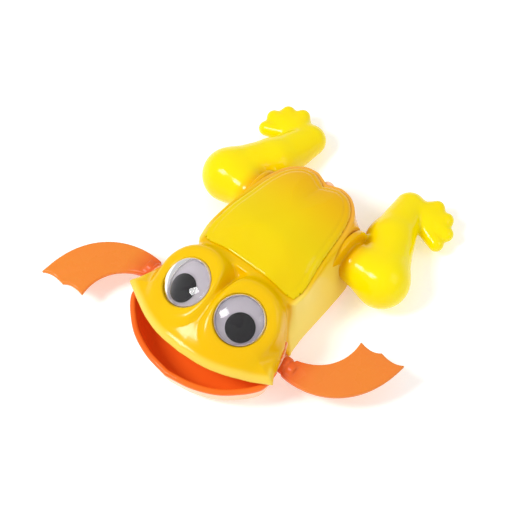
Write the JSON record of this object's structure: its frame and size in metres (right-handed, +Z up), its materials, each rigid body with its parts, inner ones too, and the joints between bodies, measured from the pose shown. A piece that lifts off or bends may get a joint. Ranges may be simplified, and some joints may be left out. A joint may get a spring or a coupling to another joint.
{
  "type": "wind-up swimming frog toy",
  "caption": "Yellow and orange plastic wind-up bath frog with paddling front flippers, kicking hind legs, rolling-pupil eyes and a clockwork motor inside.",
  "frame": {"origin": "centre of the belly's flat resting face", "axes": "-Y towards the frog's nose, +X towards its left side, +Z up"},
  "size_m": [0.1022, 0.0969, 0.0294],
  "materials": {
    "yellow_plastic": "high gloss moulded ABS",
    "back_plastic": "high gloss moulded ABS, a little deeper yellow",
    "orange_plastic": "gloss moulded ABS",
    "flipper_plastic": "satin gloss soft plastic",
    "eye_white": "smooth, faintly lilac white",
    "pupil_black": "polished black disc",
    "clear_lens": "clear moulded styrene dome",
    "steel": "drawn and plated",
    "spring_steel": "blued strip",
    "brass_wheel": "stamped brass",
    "nylon": "natural white acetal",
    "plate_plastic": "frosted white plastic",
    "seal_rubber": "matt black rubber"
  },
  "bodies": {
    "frog_body": {"upper_shell": "yellow_plastic", "back_cover": "back_plastic", "lower_shell": "orange_plastic", "mouth_roof": "orange_plastic", "left_eye_cup": "eye_white", "right_eye_cup": "eye_white", "left_eye_lens": "clear_lens", "right_eye_lens": "clear_lens", "left_motor_plate": "plate_plastic", "right_motor_plate": "plate_plastic", "motor_pillars": "nylon", "motor_screws": "steel", "shell_screws": "steel", "spring_housing": "nylon", "mainspring": "spring_steel", "front_seals": "seal_rubber", "hind_seals": "seal_rubber"},
    "front_drive": {"front_axle": "steel", "front_pinion": "nylon", "left_flipper": "flipper_plastic", "right_flipper": "flipper_plastic"},
    "hind_drive": {"hind_axle": "steel", "rocker_lever": "nylon", "left_hind_leg": "yellow_plastic", "right_hind_leg": "yellow_plastic"},
    "winder": {"mainspring_arbor": "steel", "ratchet_wheel": "steel", "winding_knob": "yellow_plastic"},
    "great_drive": {"great_wheel": "brass_wheel", "click": "steel"},
    "idler": {"front_idler": "nylon"},
    "crank": {"crank_wheel": "nylon"},
    "governor_wheel": {"governor": "brass_wheel"},
    "left_pupil_disc": {"left_pupil": "pupil_black"},
    "right_pupil_disc": {"right_pupil": "pupil_black"}
  },
  "joints": [
    {"name": "front_paddle", "type": "hinge", "parent": "frog_body", "child": "front_drive", "pos_m": [0, -0.0182, 0.0094], "axis": [1, 0, 0], "continuous": true},
    {"name": "hind_kick", "type": "hinge", "parent": "frog_body", "child": "hind_drive", "pos_m": [0, 0.0185, 0.011], "axis": [1, 0, 0], "range_deg": [-20, 20]},
    {"name": "wind", "type": "hinge", "parent": "frog_body", "child": "winder", "pos_m": [0, -0.001, 0.011], "axis": [-1, 0, 0], "range_deg": [0, 2160]},
    {"name": "great_turn", "type": "hinge", "parent": "frog_body", "child": "great_drive", "pos_m": [0, -0.001, 0.011], "axis": [1, 0, 0], "continuous": true},
    {"name": "idler_turn", "type": "hinge", "parent": "frog_body", "child": "idler", "pos_m": [0, -0.01109, 0.01329], "axis": [1, 0, 0], "continuous": true},
    {"name": "crank_turn", "type": "hinge", "parent": "frog_body", "child": "crank", "pos_m": [0, 0.00931, 0.0101], "axis": [1, 0, 0], "continuous": true},
    {"name": "governor_turn", "type": "hinge", "parent": "frog_body", "child": "governor_wheel", "pos_m": [0, 0.0129, 0.01685], "axis": [1, 0, 0], "continuous": true},
    {"name": "left_pupil_roll", "type": "hinge", "parent": "frog_body", "child": "left_pupil_disc", "pos_m": [0.0096, -0.0205, 0.0236], "axis": [0.2535, -0.3649, 0.8959], "continuous": true},
    {"name": "right_pupil_roll", "type": "hinge", "parent": "frog_body", "child": "right_pupil_disc", "pos_m": [-0.0096, -0.0205, 0.0236], "axis": [-0.2535, -0.3649, 0.8959], "continuous": true}
  ],
  "couplings": [
    {"joint": "idler_turn", "follows": "front_paddle", "ratio": -0.5},
    {"joint": "great_turn", "follows": "front_paddle", "ratio": 0.13889},
    {"joint": "crank_turn", "follows": "front_paddle", "ratio": -0.5},
    {"joint": "governor_turn", "follows": "front_paddle", "ratio": 1.2}
  ]
}
